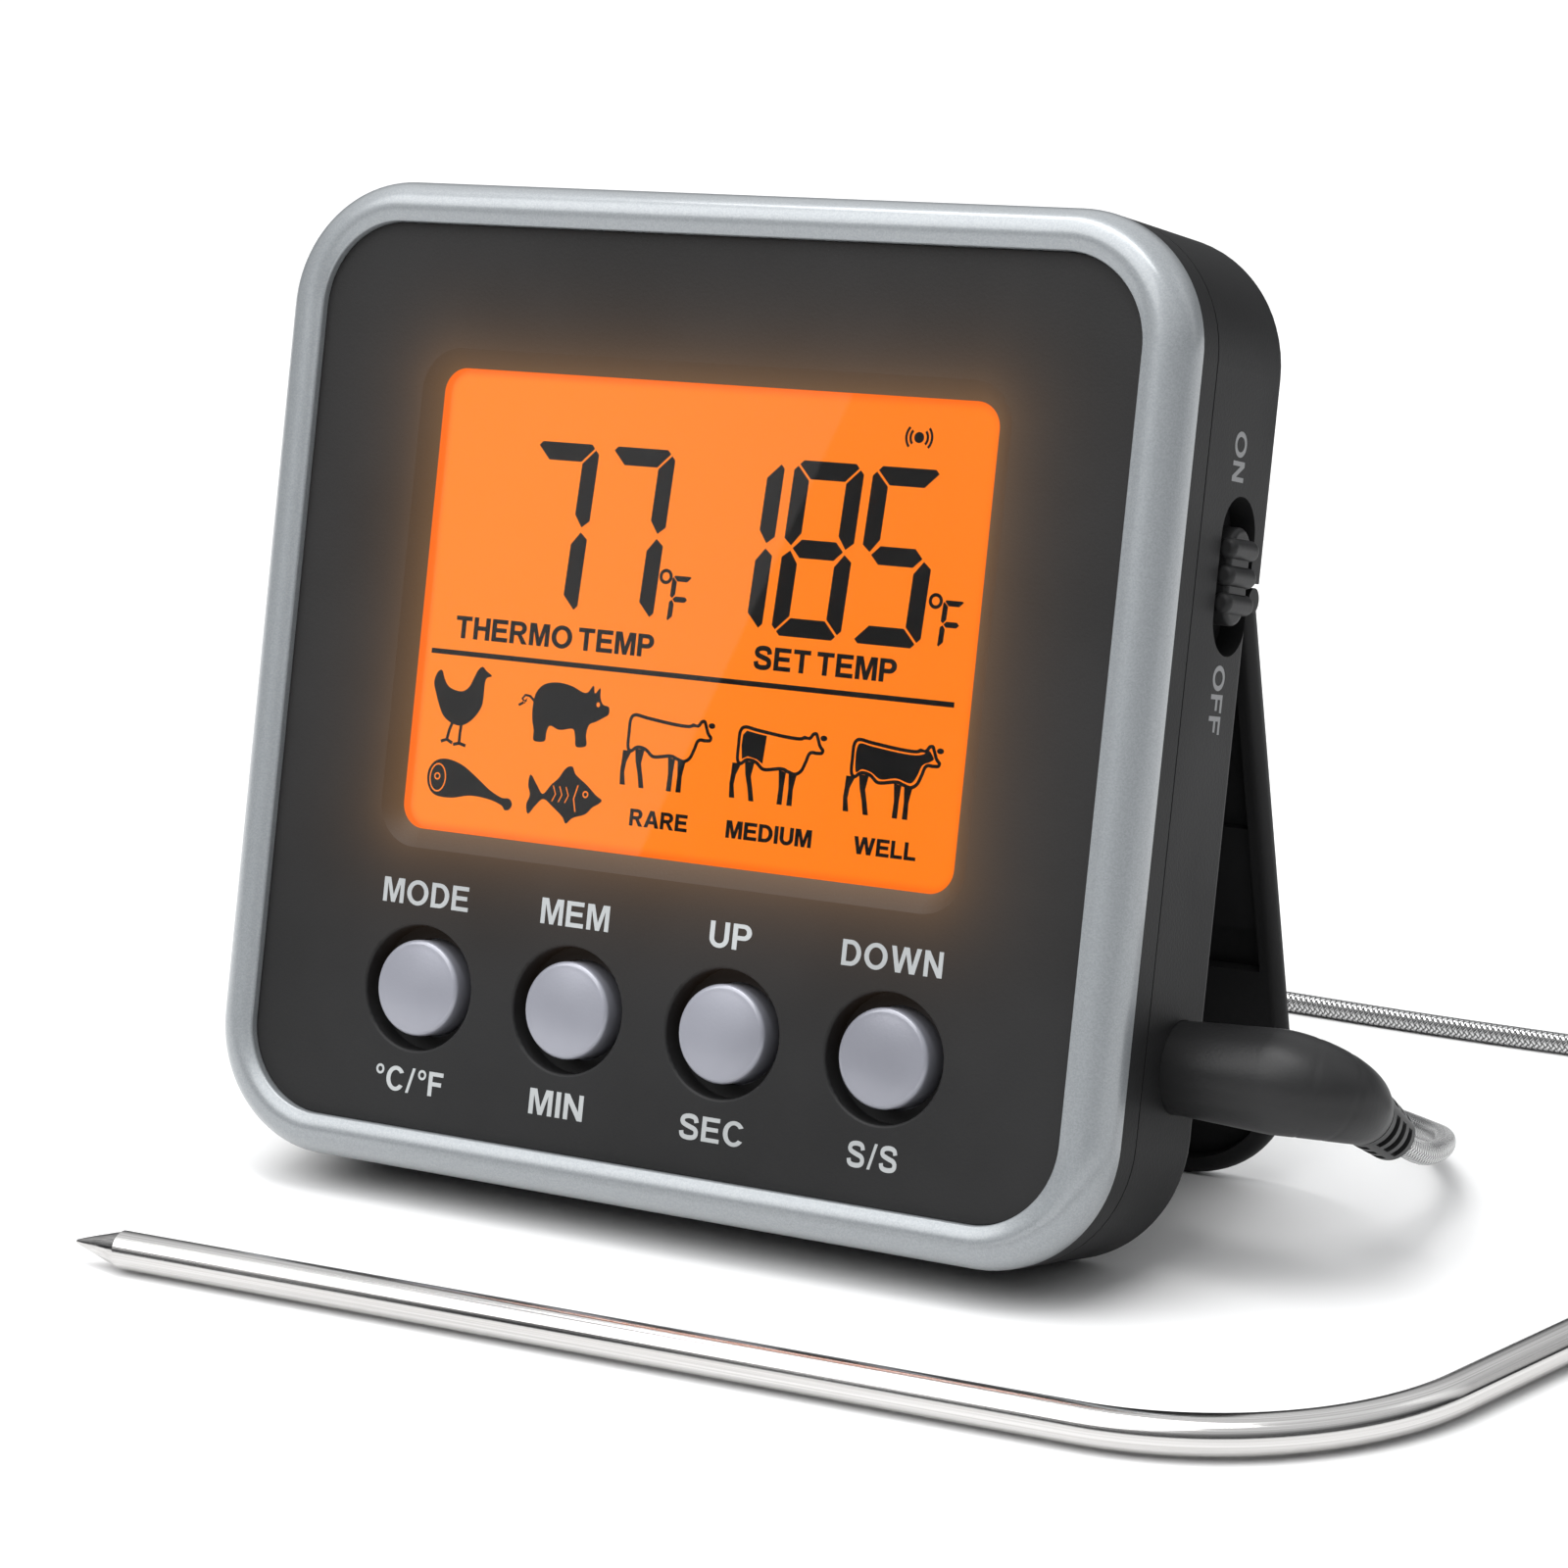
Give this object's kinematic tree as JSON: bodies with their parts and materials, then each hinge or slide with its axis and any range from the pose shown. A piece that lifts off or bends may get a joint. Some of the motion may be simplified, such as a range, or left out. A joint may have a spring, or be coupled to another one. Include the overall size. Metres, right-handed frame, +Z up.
{
  "type": "probe meat thermometer",
  "caption": "Kitchen probe thermometer with lit display, four buttons, slide switch, fold-out stand and a bent steel probe on a braided plug-in lead.",
  "frame": {"origin": "on the table under the middle of the object's own box, the probe counted and the free lead left out; z=0 is the table that the case's lower rear edge, the stand's foot and the probe lie on", "axes": "+Z up, the display faces -Y and leans back 13.8 degrees, +X is to the right of the display, the side with the switch and the plug"},
  "size_m": [0.1291, 0.1077, 0.0796],
  "materials": {
    "silver_paint": "satin silver paint over moulded plastic",
    "charcoal_plastic": "fine satin charcoal moulding",
    "clear_lens": "clear gloss acrylic",
    "display_orange": "lit orange display",
    "light_guide": "diffusing light guide",
    "white_plastic": "white moulded holder",
    "grey_rubber": "layered conductive rubber",
    "button_lavender": "satin lavender grey caps",
    "black_plastic": "black moulded plastic",
    "case_plastic": "fine textured dark moulding",
    "zinc_steel": "zinc plated steel",
    "board_green": "green solder mask",
    "cell_sleeve": "plain dark cell sleeve",
    "magnet": "sintered disc magnet",
    "plug_plastic": "soft black moulded plug",
    "contact_metal": "nickel plated contact",
    "steel_braid": "fine stainless wire braid",
    "tie_plastic": "black coated twist tie",
    "polished_steel": "polished stainless steel"
  },
  "bodies": {
    "case": {"front_case": "case_plastic", "rear_case": "case_plastic", "bezel_ring": "silver_paint", "front_panel": "charcoal_plastic", "window_lens": "clear_lens", "lcd_glass": "display_orange", "lcd_backlight": "light_guide", "display_frame": "white_plastic", "zebra_strip": "grey_rubber", "key_switch_mode": "black_plastic", "key_switch_mem": "black_plastic", "key_switch_up": "black_plastic", "key_switch_down": "black_plastic", "case_screws": "zinc_steel", "circuit_board": "board_green", "controller_blob": "black_plastic", "buzzer": "black_plastic", "power_switch_body": "black_plastic", "battery_1": "cell_sleeve", "battery_2": "cell_sleeve", "contact_plates": "zinc_steel", "contact_springs": "zinc_steel", "jack_socket": "black_plastic"},
    "mode_button": {"button_mode": "button_lavender"},
    "mem_button": {"button_mem": "button_lavender"},
    "up_button": {"button_up": "button_lavender"},
    "down_button": {"button_down": "button_lavender"},
    "power_switch": {"power_switch_knob": "black_plastic"},
    "door": {"battery_door": "case_plastic"},
    "stand_leg": {"stand": "case_plastic", "stand_magnets": "magnet", "hinge_pin_left": "zinc_steel", "hinge_pin_right": "zinc_steel"},
    "probe_lead": {"plug_body": "plug_plastic", "strain_relief": "plug_plastic", "plug_pin": "contact_metal", "lead_tube_plug": "steel_braid", "lead_coil": "steel_braid", "lead_tube_probe": "steel_braid", "coil_tie": "tie_plastic", "probe_tube": "polished_steel", "probe_tip": "polished_steel", "probe_collar": "polished_steel"}
  },
  "joints": [
    {"name": "press_mode", "type": "slide", "parent": "case", "child": "mode_button", "axis": [0, 0.9711, -0.2385], "range_m": [0, 0.0005], "stiffness_N_per_m": 400},
    {"name": "press_mem", "type": "slide", "parent": "case", "child": "mem_button", "axis": [0, 0.9711, -0.2385], "range_m": [0, 0.0005], "stiffness_N_per_m": 400},
    {"name": "press_up", "type": "slide", "parent": "case", "child": "up_button", "axis": [0, 0.9711, -0.2385], "range_m": [0, 0.0005], "stiffness_N_per_m": 400},
    {"name": "press_down", "type": "slide", "parent": "case", "child": "down_button", "axis": [0, 0.9711, -0.2385], "range_m": [0, 0.0005], "stiffness_N_per_m": 400},
    {"name": "slide_power", "type": "slide", "parent": "case", "child": "power_switch", "axis": [0, 0.2385, 0.9711], "range_m": [-0.002, 0.002]},
    {"name": "door_turn", "type": "hinge", "parent": "case", "child": "door", "pos_m": [-0.02022, 0.02132, 0.05229], "axis": [-1, 0, 0], "range_deg": [0, 70]},
    {"name": "stand_fold", "type": "hinge", "parent": "case", "child": "stand_leg", "pos_m": [-0.02022, 0.02018, 0.04961], "axis": [1, 0, 0], "range_deg": [-24.9, 0]},
    {"name": "plug_pull", "type": "slide", "parent": "case", "child": "probe_lead", "axis": [1, 0, 0], "range_m": [0, 0.013]}
  ]
}
